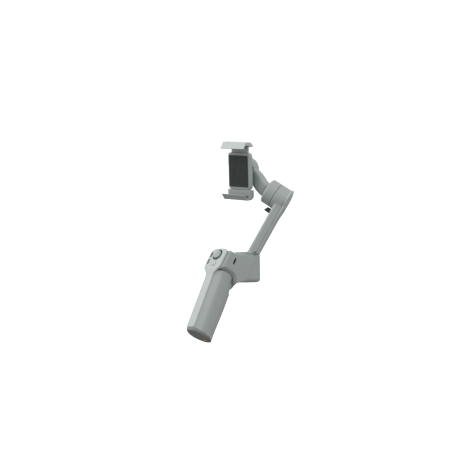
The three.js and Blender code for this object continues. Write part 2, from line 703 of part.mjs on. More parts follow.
// Tension spring behind the telephone, a square wire wound about z.
function springCoil(x) {
  const { turns, radius, wire, low, high } = spring;
  const steps = turns * 6;
  const points = Array.from({ length: steps + 1 }, (_, i) => {
    const turn = (i * Math.PI) / 3;
    return new THREE.Vector3(
      x + radius * Math.cos(turn), (tongue.front + tongue.back) / 2 + radius * Math.sin(turn),
      low + ((high - low) * i) / steps,
    );
  });
  const section = new THREE.Shape([[-1, -1], [1, -1], [1, 1], [-1, 1]].map(
    ([u, v]) => new THREE.Vector2(u * wire, v * wire),
  ));
  const extrudePath = new THREE.CatmullRomCurve3(points);
  return new THREE.ExtrudeGeometry(section, { steps, extrudePath, bevelEnabled: false });
}

const clampMiddle = (plate.front + plate.back) / 2;
const screwAt = (geometry, x) => moved(geometry, x, clampMiddle, 0);

function makePlate() {
  const { front, back, halfWidth, halfHeight, slotFloor } = plate;
  const outline = easedShape([
    [-halfWidth, -halfHeight], [halfWidth, -halfHeight], [halfWidth, halfHeight], [-halfWidth, halfHeight],
  ], plate.corner);
  const slot = box(-tongue.halfWidth - gap, tongue.halfWidth + gap, tongue.front - gap, tongue.back + gap,
    slotFloor, halfHeight + 5);
  let body = solid(forwards(outline, front, back, { bevel: 0.9 })).subtract(solid(slot));
  for (const x of [-screw.x, screw.x])
    body = body.subtract(solid(screwAt(disc(screw.radius + gap, -halfHeight - 3, slotFloor - 1.4, fine), x)));
  piece(clamp, "clamp_back_plate", body, "shell");
  piece(clamp, "back_pad",
    box(-halfWidth + pad.margin, halfWidth - pad.margin, front - 1.3, front - gap,
      -halfHeight + 4, halfHeight - 4), "rubber");
}

function makeLowerJaw() {
  const headTop = -phoneTop - 4;
  let lower = solid(sideways(hookShape(-1, plate.halfHeight + gap), -jaw.halfWidth, jaw.halfWidth));
  for (const [side, x] of [["left", -screw.x], ["right", screw.x]]) {
    lower = lower.subtract(solid(screwAt(disc(screw.radius + gap, -50, 0, fine), x)))
      .subtract(solid(screwAt(disc(screw.headRadius + gap, -50, headTop, fine), x)));
    const bolt = join(
      disc(screw.radius, headTop - 0.5, plate.slotFloor - 2.2, fine),
      disc(screw.headRadius, headTop - 1.6, headTop - 0.3, fine),
    );
    piece(clamp, "lower_jaw_screw_" + side, bolt, "steel").position.set(x, clampMiddle, 0);
    piece(clamp, "clamp_spring_" + side, springCoil(Math.sign(x) * spring.x), "steel");
  }
  piece(clamp, "clamp_lower_jaw", lower, "shell");
  piece(clamp, "lower_jaw_pad", jawPad(-1), "rubber");
}

function makeUpperJaw() {
  const upper = join(
    sideways(hookShape(1, phoneTop), -jaw.halfWidth, jaw.halfWidth),
    box(-tongue.halfWidth, tongue.halfWidth, tongue.front, tongue.back, tongue.low, phoneTop + 3),
  );
  piece(clamp, "clamp_upper_jaw", upper, "pale");
  piece(clamp, "upper_jaw_pad", jawPad(1), "rubber");
}

makeFront();
makeGrip();
makeBase();
makeCells();
makeHead();
makeHeadInside();
makeTrigger();
makeArm();
makeArmParts();
makeElbow();
makeRoll();
makeRollRotor();
makePlate();
makeLowerJaw();
makeUpperJaw();

export default root;
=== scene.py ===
"""Looks of a handheld three-axis telephone stabilizer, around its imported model."""
import json
import math

import bmesh
import bpy
from mathutils import Matrix, Vector


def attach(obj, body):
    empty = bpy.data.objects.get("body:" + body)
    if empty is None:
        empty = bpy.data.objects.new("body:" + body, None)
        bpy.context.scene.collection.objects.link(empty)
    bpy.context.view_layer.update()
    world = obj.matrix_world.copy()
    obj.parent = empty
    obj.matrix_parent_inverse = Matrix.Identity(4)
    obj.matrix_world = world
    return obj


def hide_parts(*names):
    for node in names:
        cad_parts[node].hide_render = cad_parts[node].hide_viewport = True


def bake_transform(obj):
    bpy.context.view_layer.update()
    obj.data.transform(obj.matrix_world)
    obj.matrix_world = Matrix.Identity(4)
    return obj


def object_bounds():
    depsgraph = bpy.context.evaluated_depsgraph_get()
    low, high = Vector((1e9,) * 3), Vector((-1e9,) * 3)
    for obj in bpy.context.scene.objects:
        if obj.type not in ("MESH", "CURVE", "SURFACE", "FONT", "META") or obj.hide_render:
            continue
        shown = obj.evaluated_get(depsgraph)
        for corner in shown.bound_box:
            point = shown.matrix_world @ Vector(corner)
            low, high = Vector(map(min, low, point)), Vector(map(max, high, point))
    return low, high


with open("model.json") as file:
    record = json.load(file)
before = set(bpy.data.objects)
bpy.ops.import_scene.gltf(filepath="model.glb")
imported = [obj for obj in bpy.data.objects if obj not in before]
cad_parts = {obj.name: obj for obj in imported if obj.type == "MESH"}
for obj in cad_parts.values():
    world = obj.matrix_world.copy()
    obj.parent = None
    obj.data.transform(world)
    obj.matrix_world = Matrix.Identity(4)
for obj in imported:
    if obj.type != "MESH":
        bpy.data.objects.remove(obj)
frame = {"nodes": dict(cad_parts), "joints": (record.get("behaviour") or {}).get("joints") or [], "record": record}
cad_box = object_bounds()

# ---------------------------------------------------------------- frames
# Everything is modelled in millimetres, and shaded() scales a piece to the row frame's metres.
MM = 0.001
JOINT = {joint["name"]: joint for joint in frame["joints"]}
MOUNT = {mount["name"]: mount for mount in frame["record"]["mounts"]}
OPENING = {opening["name"]: opening for opening in frame["record"]["physics"]["openings"]}


def direction(values):
    """A unit vector."""
    return Vector(values).normalized()


def basis(origin, x, y, z):
    """The matrix from a local frame, whose origin is given in metres, to the row frame in millimetres."""
    turn = Matrix((x, y, z)).transposed().to_4x4()
    return Matrix.Translation(Vector(origin) / MM) @ turn


CAP_DROP = 1.2  # the cap reaches this far below the handle's zero

handle_up = -direction(MOUNT["handle_base"]["axis"])
handle_right = -direction(JOINT["trigger_pull"]["axis"])
HANDLE = basis(handle_up * CAP_DROP * MM, handle_right, handle_up.cross(handle_right), handle_up)

STICK = (1, 22.4, -3.6)  # the joystick's pivot in the panel's frame
panel_x = direction(JOINT["joystick_up_down"]["axis"])
panel_y = direction(JOINT["joystick_left_right"]["axis"])
panel_z = panel_x.cross(panel_y)
panel_origin = Vector(JOINT["joystick_up_down"]["pos_m"]) - MM * (
    STICK[0] * panel_x + STICK[1] * panel_y + STICK[2] * panel_z)
PANEL = basis(panel_origin, panel_x, panel_y, panel_z)

pan_axis = direction(JOINT["pan"]["axis"])
arm_up = -direction(JOINT["motor_lock_slide"]["axis"])
across = pan_axis.cross(arm_up).normalized()
PAN = basis(JOINT["pan"]["pos_m"], handle_right, pan_axis.cross(handle_right), pan_axis)
TURN = basis(JOINT["pan"]["pos_m"], across.cross(pan_axis), across, pan_axis)
ARM = basis(JOINT["tilt"]["pos_m"], across.cross(arm_up), across, arm_up)
tilt_in = -direction(JOINT["tilt"]["axis"])
TILT = basis(JOINT["tilt"]["pos_m"], across.cross(tilt_in), across, tilt_in)
ROLL = basis(JOINT["roll"]["pos_m"], Vector((1, 0, 0)), Vector((0, 0, 1)), Vector((0, -1, 0)))
telephone = [Vector(corner) for corner in OPENING["telephone_space"]["box_m"]]
CLAMP = basis((telephone[0] + telephone[1]) / 2, Vector((1, 0, 0)), Vector((0, 1, 0)), Vector((0, 0, 1)))
PHONE_TOP = (telephone[1].z - telephone[0].z) / 2 / MM  # half the telephone's height
AT_STICK = PANEL @ Matrix.Translation((STICK[0], STICK[1], 0))
AT_PORT = HANDLE @ Matrix.Translation((0, -2.4, 118)) @ Matrix.Rotation(-0.09, 4, "X")

# ---------------------------------------------------------------- dimensions, in millimetres
TINY = 1e-6  # a length below this counts as none
SAME_PLACE = 1e-4  # points closer than this count as one
GAP = 0.3
SEAM = 0.15  # half the gap between the grip's two shells
WALL = 2.2
GRIP = {"half": 15, "front": 22.7, "back": 19.5, "front_half": 7.5, "back_half": 5.5,
        "side_front": -9, "side_back": 6, "ease": 5, "wall": 1.6, "lip": 0.7,
        "foot_front": 4.3, "foot_slant": 4.35}
BULGE = {"depth": 2.2, "full": 60, "step": 76, "step_height": 2.2}
STRIP = {"thick": 3, "half": 16.3, "spine_half": 7.4, "foot_corner": 3, "edge": 1.4, "rise": 84,
         "taper": 86, "bottom": 97, "wide": 101, "top": 130, "corner": 8,
         "spine_y": -22.9, "low_y": -24.2, "high_y": -20.3}
KEYS = {"power_key": (-11.7, 23), "mode_key": (-11.7, 11.2)}  # their middles on the panel
KEY_WIDE = 1.1
KEY_LONG = 4
BUTTON = {"x": 1.6, "y": 7.8, "radius": 4.1}
JOYSTICK_HOLE = 8.6
HEAD = {"half": 19, "chamfer": 2.7, "chamfer_depth": 8, "bevel": 3.2, "web_half": 7.4}
TRIGGER = {"half": 5.5, "room": 0.4, "pull": 4.2}
PAN_HOME = {"radius": 18.3, "low": -22.5, "high": 17.7}
PAN_DISC = {"radius": 19, "low": 18, "high": 21.8, "boss": 15.2, "boss_low": 17.3}
MOTOR_RADIUS = 18.7
ARM_BAR = {"inner": 5.4, "outer": 17.4, "half": 16.5, "length": 80}
COVER = {"inner": 18.2, "strip": 19.4, "shoulder": 28, "cap": 20.8}
ROLL_HOUSE = {"radius": 18, "depth": 12.7, "back": 30}
JAW = {"half": 23.5, "lip": -8, "slant": -2.3, "rise": 7, "lower_rise": 6, "overlap": 2.6}
PLATE = {"front": 5.8, "back": 12.8, "half": 22, "high": 27}
TONGUE = {"half": 17, "front": 8.3, "back": 10.9}
SCREW_X = (-16, 16)
SPRING = {"low": -19.5, "high": -2.4, "y": 9.6, "radius": 1.0, "wire": 0.22, "turns": 13, "steps": 14}


# ---------------------------------------------------------------- materials
def srgb(r, g, b):
    """A linear colour from 8-bit display values."""
    def linear(value):
        value /= 255
        return value / 12.92 if value <= 0.04045 else ((value + 0.055) / 1.055) ** 2.4
    return (linear(r), linear(g), linear(b), 1)


def surface(name, colour, rough, metal=0.0, grain=2600, grain_depth=0.03, mottle=0.05,
            stretch=(1, 1, 1), sheen=0.0, coat=0.0):
    """A plastic, rubber or metal with fine grain, slow colour variation and uneven gloss."""
    material = bpy.data.materials.new(name)
    material.use_nodes = True
    nodes = material.node_tree.nodes
    links = material.node_tree.links
    shader = nodes["Principled BSDF"]
    shader.inputs["Metallic"].default_value = metal
    shader.inputs["Sheen Weight"].default_value = sheen
    shader.inputs["Coat Weight"].default_value = coat

    place = nodes.new("ShaderNodeTexCoord")
    mapping = nodes.new("ShaderNodeMapping")
    mapping.inputs["Scale"].default_value = stretch
    links.new(place.outputs["Object"], mapping.inputs["Vector"])

    slow = nodes.new("ShaderNodeTexNoise")
    slow.inputs["Scale"].default_value = 70
    slow.inputs["Detail"].default_value = 4
    links.new(mapping.outputs["Vector"], slow.inputs["Vector"])
    tone = nodes.new("ShaderNodeMix")
    tone.data_type = "RGBA"
    tone.inputs["A"].default_value = [c * (1 - mottle) for c in colour[:3]] + [1]
    tone.inputs["B"].default_value = [min(1, c * (1 + mottle)) for c in colour[:3]] + [1]
    links.new(slow.outputs["Fac"], tone.inputs["Factor"])
    links.new(tone.outputs["Result"], shader.inputs["Base Color"])

    fine = nodes.new("ShaderNodeTexNoise")
    fine.inputs["Scale"].default_value = grain
    fine.inputs["Detail"].default_value = 2
    links.new(mapping.outputs["Vector"], fine.inputs["Vector"])
    gloss = nodes.new("ShaderNodeMapRange")
    gloss.inputs["To Min"].default_value = rough - 0.06
    gloss.inputs["To Max"].default_value = rough + 0.06
    links.new(fine.outputs["Fac"], gloss.inputs["Value"])
    links.new(gloss.outputs["Result"], shader.inputs["Roughness"])
    bump = nodes.new("ShaderNodeBump")
    bump.inputs["Strength"].default_value = 0.5
    bump.inputs["Distance"].default_value = grain_depth * MM
    links.new(fine.outputs["Fac"], bump.inputs["Height"])
    links.new(bump.outputs["Normal"], shader.inputs["Normal"])
    return material


SHELL = surface("shell grey", srgb(156, 163, 161), 0.34)
LIGHT = surface("light grey", srgb(178, 185, 183), 0.45)
PALE = surface("pale grey", srgb(176, 183, 181), 0.45)
DARK = surface("dark grey cap", srgb(130, 135, 134), 0.6, grain=1800, grain_depth=0.05)
KEY = surface("dark grey key", srgb(86, 90, 89), 0.5)
BLACK = surface("black plastic", srgb(38, 40, 41), 0.5)
RUBBER = surface("soft rubber", srgb(44, 46, 47), 0.8, grain=3400, grain_depth=0.04, sheen=0.15)
CABLE = surface("flat cable", srgb(40, 40, 40), 0.6, stretch=(1, 1, 6))
STEEL = surface("machined steel", srgb(190, 190, 194), 0.32, metal=1.0, stretch=(1, 8, 1), mottle=0.08)
BRASS = surface("machined brass", srgb(206, 176, 112), 0.3, metal=1.0, mottle=0.08)
ALLOY = surface("turned alloy", srgb(128, 130, 133), 0.4, metal=1.0, stretch=(6, 1, 1))
COPPER = surface("varnished winding", srgb(186, 112, 62), 0.35, metal=0.9, grain=1400, coat=0.4)
MAGNET = surface("plated magnet", srgb(118, 120, 124), 0.3, metal=1.0)
BOARD = surface("circuit board", srgb(32, 92, 58), 0.5, coat=0.3, mottle=0.2)
SLEEVE = surface("battery sleeve", srgb(58, 92, 142), 0.4, coat=0.2)

CARRIED = {
    "shell_grey": SHELL, "light_grey": LIGHT, "pale_grey": PALE, "dark_grey": DARK,
    "black_plastic": BLACK, "soft_rubber": RUBBER, "cable": CABLE, "steel": STEEL, "brass": BRASS,
    "circuit_board": BOARD, "battery_sleeve": SLEEVE, "motor_metal": ALLOY,
    "copper_winding": COPPER, "magnet": MAGNET,
}
SLOT = {part["node"]: part["material_slot"] for part in frame["record"]["subparts"]}
for node, carried in frame["nodes"].items():
    carried.data.materials.clear()
    carried.data.materials.append(CARRIED[SLOT[node]])


# ---------------------------------------------------------------- outlines
def vectors(points):
    """Plain pairs as vectors."""
    return [Vector(point) for point in points]


def rectangle(left, right, low, high):
    """The corners of a rectangle."""
    return vectors([(left, low), (right, low), (right, high), (left, high)])


def smooth_step(t):
    """Rises from 0 to 1, with level ends, while t goes from 0 to 1."""
    t = max(0.0, min(1.0, t))
    return t * t * (3 - 2 * t)


def quadratic(a, b, c, steps=10):
    """A curve from a to c that leaves and arrives towards b, without its first point."""
    a, b, c = vectors((a, b, c))
    shares = [(i + 1) / steps for i in range(steps)]
    return [a * (1 - t) ** 2 + b * 2 * t * (1 - t) + c * t * t for t in shares]


def bezier(a, b, c, d, steps=12):
    """A curve from a to d that leaves towards b and arrives from c."""
    a, b, c, d = vectors((a, b, c, d))
    shares = [i / steps for i in range(steps + 1)]
    return [a * (1 - t) ** 3 + b * 3 * t * (1 - t) ** 2 + c * 3 * t * t * (1 - t) + d * t ** 3
            for t in shares]


def eased(corners, ease, steps=8, closed=True):
    """Points of an outline whose corners are rounded over `ease`, or over a corner's own third value."""
    points = []
    count = len(corners)
    for i, corner in enumerate(corners):
        here = Vector(corner[:2])
        if not closed and i in (0, count - 1):
            points.append(here)
            continue
        reach = corner[2] if len(corner) > 2 else ease
        before = Vector(corners[i - 1][:2])
        after = Vector(corners[(i + 1) % count][:2])
        reach = min(reach, (here - before).length * 0.48, (after - here).length * 0.48)
        if reach < TINY:
            points.append(here)
            continue
        start = here + (before - here).normalized() * reach
        end = here + (after - here).normalized() * reach
        for step in range(steps + 1):
            t = step / steps
            points.append(start * (1 - t) ** 2 + here * 2 * t * (1 - t) + end * t ** 2)
    return points


def circle(radius, count=64, x=0, y=0):
    """A round outline about a middle."""
    return [Vector((x + radius * math.cos(2 * math.pi * i / count),
                    y + radius * math.sin(2 * math.pi * i / count))) for i in range(count)]


def pill(half_width, half_length, steps=10):
    """A narrow outline with round ends, upright about zero."""
    return eased(rectangle(-half_width, half_width, -half_length, half_length), half_width * 0.96, steps)


def shifted(outline, x, y):
    """The outline moved sideways."""
    return [Vector((p.x + x, p.y + y)) for p in outline]


def inset(outline, depth):
    """The outline moved inwards, each point along the middle of its two edges' directions."""
    count = len(outline)
    area = sum(outline[i - 1].cross(outline[i]) for i in range(count))
    sign = 1 if area > 0 else -1
    moved = []
    for i, here in enumerate(outline):
        before = (here - outline[i - 1]).normalized()
        after = (outline[(i + 1) % count] - here).normalized()
        n1 = Vector((-before.y, before.x)) * sign
        n2 = Vector((-after.y, after.x)) * sign
        moved.append(here + (n1 + n2) * (depth / max(0.3, 1 + n1.dot(n2))))
    return moved


# ---------------------------------------------------------------- meshes
SIDEWAYS = Matrix(((0, 0, 1, 0), (1, 0, 0, 0), (0, 1, 0, 0), (0, 0, 0, 1)))  # outline in y and z
FORWARDS = Matrix(((1, 0, 0, 0), (0, 0, 1, 0), (0, 1, 0, 0), (0, 0, 0, 1)))  # outline in x and z
TO_FRONT = Matrix(((1, 0, 0, 0), (0, 0, -1, 0), (0, 1, 0, 0), (0, 0, 0, 1)))  # z turned to minus y


def skin(rings, close=True, caps=(True, True), to=None):
    """Joins rings of equal counts with faces, closes the ends, and turns the faces outwards."""
    bm = bmesh.new()
    rows = [[bm.verts.new(point) for point in ring] for ring in rings]
    count = len(rows[0])
    for low, high in zip(rows, rows[1:]):
        for i in range(count if close else count - 1):
            j = (i + 1) % count
            bm.faces.new((low[i], low[j], high[j], high[i]))
    if caps[0]:
        bm.faces.new(list(reversed(rows[0])))
    if caps[1]:
        bm.faces.new(rows[-1])
    if to:
        bmesh.ops.transform(bm, matrix=to, verts=bm.verts)
    bmesh.ops.recalc_face_normals(bm, faces=bm.faces)
    return bm


def prism(outline, low, high, edge=0.0, steps=4, to=None):
    """An outline raised along z. `edge` rounds its two end edges, or is a pair for its foot and top."""
    foot_edge, top_edge = edge if isinstance(edge, tuple) else (edge, edge)
    outline = [p for i, p in enumerate(outline) if (p - outline[i - 1]).length > SAME_PLACE]
    angles = [math.pi / 2 * i / steps for i in range(steps + 1)]
    foot = [(foot_edge * (1 - math.sin(a)), low + foot_edge * (1 - math.cos(a))) for a in angles]
    top = [(top_edge * (1 - math.sin(a)), high - top_edge * (1 - math.cos(a))) for a in reversed(angles)]
    levels = (foot if foot_edge else foot[-1:]) + (top if top_edge else top[:1])
    rings = [[Vector((p.x, p.y, level)) for p in inset(outline, depth)] for depth, level in levels]
    return skin(rings, to=to)


def lathe(profile, count=72):
    """A profile of (radius, z) from axis to axis or closed, turned about z."""
    bm = bmesh.new()
    rings = []
    for r, z in profile:
        ring = [(0, 0)] if r < TINY else circle(r, count)
        rings.append([bm.verts.new((x, y, z)) for x, y in ring])
    for low, high in zip(rings, rings[1:]):
        for i in range(count):
            j = (i + 1) % count
            if len(low) == 1 and len(high) == 1:
                break
            if len(low) == 1:
                bm.faces.new((low[0], high[j], high[i]))
            elif len(high) == 1:
                bm.faces.new((low[i], low[j], high[0]))
            else:
                bm.faces.new((low[i], low[j], high[j], high[i]))
    bmesh.ops.remove_doubles(bm, verts=bm.verts, dist=1e-5)
    bmesh.ops.recalc_face_normals(bm, faces=bm.faces)
    return bm


def turned(profile, ease=0.8, count=72, steps=4):
    """A lathe's work whose profile has eased corners."""
    return lathe([(p.x, p.y) for p in eased(profile, ease, steps, closed=False)], count)


def solid(name, bm, matrix):
    """An object of a mesh that is placed by a matrix."""
    mesh = bpy.data.meshes.new(name)
    bm.transform(matrix)
    bm.to_mesh(mesh)
    bm.free()
    piece = bpy.data.objects.new(name, mesh)
    bpy.context.scene.collection.objects.link(piece)
    return piece


def applied(piece):
    """Replaces the mesh by what its modifiers make of it."""
    bpy.context.view_layer.update()
    made = bpy.data.meshes.new_from_object(piece.evaluated_get(bpy.context.evaluated_depsgraph_get()))
    piece.modifiers.clear()
    piece.data = made
    return piece


def combine(piece, others, operation):
    """Adds the others to the piece, cuts them away or keeps what they share. They are used up."""
    for other in others:
        step = piece.modifiers.new(operation, "BOOLEAN")
        step.operation = operation
        step.solver = "MANIFOLD"
        step.object = other
    applied(piece)
    for other in others:
        bpy.data.objects.remove(other)
    return piece


def cut(piece, *cutters):
    """Cuts the cutters away from the piece."""
    return combine(piece, cutters, "DIFFERENCE")


def remeshed(piece, voxel, smoothing):
    """One skin with softened edges over everything that the piece holds."""
    step = piece.modifiers.new("skin", "REMESH")
    step.mode = "VOXEL"
    step.voxel_size = voxel
    smooth = piece.modifiers.new("soften", "SMOOTH")
    smooth.iterations = smoothing
    smooth.factor = 0.5
    return applied(piece)


def shaded(piece, material, stands_for=(), angle=35):
    """Scales a piece to metres, shades it, gives it its material, and hides the nodes that it stands for."""
    mesh = piece.data
    mesh.transform(Matrix.Scale(MM, 4))
    mesh.polygons.foreach_set("use_smooth", [True] * len(mesh.polygons))
    mesh.set_sharp_from_angle(angle=math.radians(angle))
    mesh.materials.clear()
    mesh.materials.append(material)
    normals = piece.modifiers.new("even normals", "WEIGHTED_NORMAL")
    normals.keep_sharp = True
    if stands_for:
        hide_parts(*stands_for)
    return piece


def finish(piece, body, material, stands_for=(), angle=35):
    """Shades a finished piece, and hangs it on its body."""
    shaded(piece, material, stands_for, angle)
    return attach(piece, body)


# ---------------------------------------------------------------- grip
ARCH = (bezier((20, 77.5), (14, 94), (10, 99.3), (0, 99.3))
        + bezier((0, 99.3), (-10, 99.3), (-19, 99), (-22.5, 94))[1:] + [Vector((-30, 93))])


def arch_height(y):
    """The grip's upper edge above a place between its back and its front."""
    if y >= ARCH[0].x:
        return ARCH[0].y
    for a, b in zip(ARCH, ARCH[1:]):
        if b.x <= y <= a.x:
            return a.y + (b.y - a.y) * (a.x - y) / (a.x - b.x)
    return ARCH[-1].y


def foot_height(y):
    """The grip's lower edge, which is cut off at a slant: higher in front."""
    g = GRIP
    return g["foot_front"] - g["foot_slant"] * (y + g["front"]) / (g["front"] + g["back"])


def swell(y, z):
    """How far the grip's back bulges out, up to a step just under the trigger."""
    b = BULGE
    over_step = smooth_step((z - b["step"]) / b["step_height"])
    return b["depth"] * max(0.0, y / GRIP["back"]) * smooth_step(z / b["full"]) * (1 - over_step)


def grip_section(depth):
    """The grip's cross-section, moved inwards."""
    g = GRIP
    half = g["half"] - depth
    front_half = g["front_half"] - depth * 0.4
    back_half = g["back_half"] - depth * 0.4
    front = -g["front"] + depth
    back = g["back"] - depth
    return [(-front_half, front), (front_half, front), (half, g["side_front"]), (half, g["side_back"]),
            (back_half, back), (-back_half, back), (-half, g["side_back"]), (-half, g["side_front"])]


def half_ring(ring, chosen, side):
    """The chosen points of a ring around the grip, with an end at each seam."""
    points = [ring[i] for i in chosen]
    first, last = (Vector((side * SEAM, p.y)) for p in (points[0], points[-1]))
    return [first] + points + [last]


def make_grip():
    """The grip's two shells, each a skin with a rounded upper edge and an inner wall."""
    rings = [eased(grip_section(depth), GRIP["ease"], 12) for depth in (0, GRIP["lip"], GRIP["wall"])]
    around = rings[0]
    for side, node in ((1, "grip_shell_right"), (-1, "grip_shell_left")):
        chosen = [i for i, p in enumerate(around) if p.x * side > SEAM]
        chosen.sort(key=lambda i: (around[i].y, abs(around[i].x) * (-1 if around[i].y > 0 else 1)))
        outer, lip, inner = (half_ring(ring, chosen, side) for ring in rings)
        heights = [arch_height(p.y) for p in outer]
        rows = []
        for share in [i / 14 for i in range(13)] + [0.88 + 0.01 * i for i in range(13)]:
            levels = [foot_height(p.y) + (h - GRIP["lip"] - foot_height(p.y)) * share
                      for p, h in zip(outer, heights)]
            rows.append([Vector((p.x, p.y + swell(p.y, z), z)) for p, z in zip(outer, levels)])
        for mix, drop in ((0.3, 0.22), (0.7, 0.05), (1.0, 0.0)):
            rows.append([Vector((p.x * (1 - mix) + q.x * mix, p.y * (1 - mix) + q.y * mix, h - drop))
                         for p, q, h in zip(outer, lip, heights)])
        rows.append([Vector((p.x, p.y, h - 0.2)) for p, h in zip(inner, heights)])
        rows.append([Vector((p.x, p.y, foot_height(p.y))) for p in inner])
        shell = skin(rows, close=False, caps=(False, False))
        shell = solid(node.replace("shell", "skin"), shell, HANDLE)
        finish(shell, "handle", SHELL, [node], 50)


# ---------------------------------------------------------------- front strip with the thumb panel
def strip_half(z):
    """Half the strip's width: narrow down the grip, wide at the panel, rounded at both ends."""
    s = STRIP
    wide = smooth_step((z - s["taper"]) / (s["wide"] - s["taper"]))
    half = s["spine_half"] + (s["half"] - s["spine_half"]) * wide
    over = z - (s["top"] - s["corner"])
    if over > 0:
        half -= s["corner"] - math.sqrt(max(0.0, s["corner"] ** 2 - over ** 2))
    under = foot_height(-GRIP["front"]) + s["foot_corner"] - z
    if under > 0:
        half -= s["foot_corner"] - math.sqrt(max(0.0, s["foot_corner"] ** 2 - under ** 2))
    return half


def strip_front(z):
    """The front face's place: upright down the grip, then out to the panel, which leans back."""
    s = STRIP
    slope = (s["high_y"] - s["low_y"]) / (s["top"] - s["bottom"])
    if z > s["bottom"]:
        return s["low_y"] + slope * (z - s["bottom"])
    out = smooth_step((z - s["rise"]) / (s["bottom"] - s["rise"]))
    return s["spine_y"] + (s["low_y"] - s["spine_y"]) * out


def strip_ring(z, shrink):
    """The strip's cross-section, rounded more at the panel's front edges."""
    s = STRIP
    half = strip_half(z) - shrink
    front = strip_front(z) + shrink * 0.6
    edge = s["edge"] + smooth_step((z - s["taper"]) / 20)
    back = strip_front(z) + s["thick"]
    corners = [(-half, back, 0.4), (-half, front, edge), (half, front, edge), (half, back, 0.4)]
    return [Vector((p.x, p.y, z)) for p in eased(corners, 0, 7)]


def strip_levels():
    """Heights along the strip, close together where its outline turns."""
    s = STRIP
    foot = foot_height(-GRIP["front"])
    levels = [foot + lift for lift in (0, 0.2, 0.7, 1.5, 3)] + [10 + 6 * i for i in range(12)]
    levels += [82 + 1.5 * i for i in range(11)] + [100, 106, 112, 118, 123]
    levels += [s["top"] - s["corner"] * (1 - math.sin(math.pi / 2 * i / 10)) for i in range(10)]
    return sorted(set(levels + [s["top"] - 0.03]))


def make_front():
    """The strip with its panel, a bright rim round the joystick, and the dark well under it."""
    strip = solid("front_strip", skin([strip_ring(z, 0) for z in strip_levels()]), HANDLE)
    holes = [circle(JOYSTICK_HOLE, 72, STICK[0], STICK[1]),
             circle(BUTTON["radius"] + GAP, 48, BUTTON["x"], BUTTON["y"])]
    holes += [shifted(pill(KEY_WIDE + GAP, KEY_LONG + GAP), x, y) for x, y in KEYS.values()]
    cut(strip, *[solid("hole", prism(hole, -6, 6), PANEL) for hole in holes])
    finish(strip, "handle", LIGHT, ["front_panel_and_spine"], 40)

    h = JOYSTICK_HOLE
    rim = turned([(h, -0.7), (h, 0.1, 0.3), (h + 0.6, 0.1, 0.3), (h + 0.6, -0.7), (h, -0.7)], 0)
    finish(solid("joystick_rim", rim, AT_STICK), "handle", LIGHT)
    floor = 7.7
    well = turned([(floor, -5.4), (floor, -5), (h, -5), (h, -0.8), (h + 0.5, -0.8), (h + 0.5, -5.4),
                   (floor, -5.4)], 0)
    finish(solid("joystick_well", well, AT_STICK), "handle", BLACK)


def make_controls():
    """The joystick's dished cap with its ring of notches, the round button and the two keys."""
    cap = turned([(0, -4.6), (1.5, -4.6, 0), (1.5, -0.6, 0.3), (6.2, -0.6, 0.5), (6.8, 0.2, 0.4),
                  (6.8, 1.6, 0.5), (6, 2.4, 0.5), (4.6, 2.0, 0.9), (0, 1.3)], 0.5, 96, 5)
    cap = solid("joystick_cap_piece", cap, AT_STICK)
    grooves = [solid("groove", prism(shifted(pill(0.18, 0.5), 0, 6.35), 2.15, 4),
                     AT_STICK @ Matrix.Rotation(math.pi / 6 * i, 4, "Z")) for i in range(12)]
    cut(cap, *grooves)
    finish(cap, "joystick", SHELL, ["joystick_cap"])

    r = BUTTON["radius"]
    press = turned([(0, -4.6), (2, -4.6, 0), (2, -3.4, 0), (r, -3.4, 0.2), (r, 0.8, 0.5), (0, 1.0)],
                   0.3, 64, 6)
    press = solid("round_button_piece", press, PANEL @ Matrix.Translation((BUTTON["x"], BUTTON["y"], 0)))
    finish(press, "round_button", PALE, ["round_button"])

    for node, (x, y) in KEYS.items():
        key = prism(shifted(pill(KEY_WIDE, KEY_LONG), x, y), -4.2, 0.6, 0.35)
        finish(solid(node + "_piece", key, PANEL), node, KEY, [node])


# ---------------------------------------------------------------- foot of the handle
def make_foot():
    """The dark cap with its tripod socket, and the threaded insert in it."""
    gap = 0.15
    cap = prism(eased(grip_section(0.4), GRIP["ease"], 10), -CAP_DROP + gap, 6, (3.2, 0), 8)
    cap = solid("foot_cap_piece", cap, HANDLE)
    slant = vectors([(y, foot_height(y) - gap) for y in (-40, 40)] + [(40, 30), (-40, 30)])
    cut(cap, solid("above", prism(slant, -30, 30, to=SIDEWAYS), HANDLE))
    socket_y = 10
    at_socket = HANDLE @ Matrix.Translation((0, socket_y, 0))
    groove = turned([(7.2, -2), (7.2, -0.9), (8, -0.9), (8, -2), (7.2, -2)], 0, 64)
    cut(cap, solid("hole", prism(circle(4.8, 48, 0, socket_y), -4, 5), HANDLE),
        solid("groove", groove, at_socket))
    finish(cap, "handle", DARK, ["base_cap"])

    pitch = 1.2
    thread = [(4.5, 11), (4.5, -0.7, 0.3), (3.5, -0.7, 0.2)]
    for turn in range(9):
        level = 0.2 + turn * pitch
        thread += [(3.15, level, 0), (3.15, level + 0.2, 0), (3.5, level + 0.6, 0)]
    thread += [(3.3, 11), (4.5, 11)]
    insert = solid("tripod_insert_piece", turned(thread, 0.1, 48, 2), at_socket)
    finish(insert, "handle", BRASS, ["tripod_insert"])


# ---------------------------------------------------------------- head and neck
def head_side(depth):
    """The head from the side, behind the panel, as y and z."""
    behind = STRIP["thick"] + GAP + depth
    return eased([
        (STRIP["spine_y"] + behind, 74), (STRIP["low_y"] + behind, STRIP["bottom"]),
        (STRIP["high_y"] + behind, 129 - depth), (-10 + depth, 129.6 - depth),
        (-3 + depth, 130.6 - depth), (16, 140.3 - depth), (34, 140.3), (34, 106),
        (21 - depth, 90), (19.5 - depth, 74),
    ], 5)


def neck_plan(depth):
    """The pan motor's housing from above, round behind and straight forwards into the head."""
    r = PAN_HOME["radius"] - depth
    angles = [math.pi * i / 48 for i in range(49)]
    return [Vector((r * math.cos(a), r * math.sin(a))) for a in angles] + vectors([(-r, -44), (r, -44)])


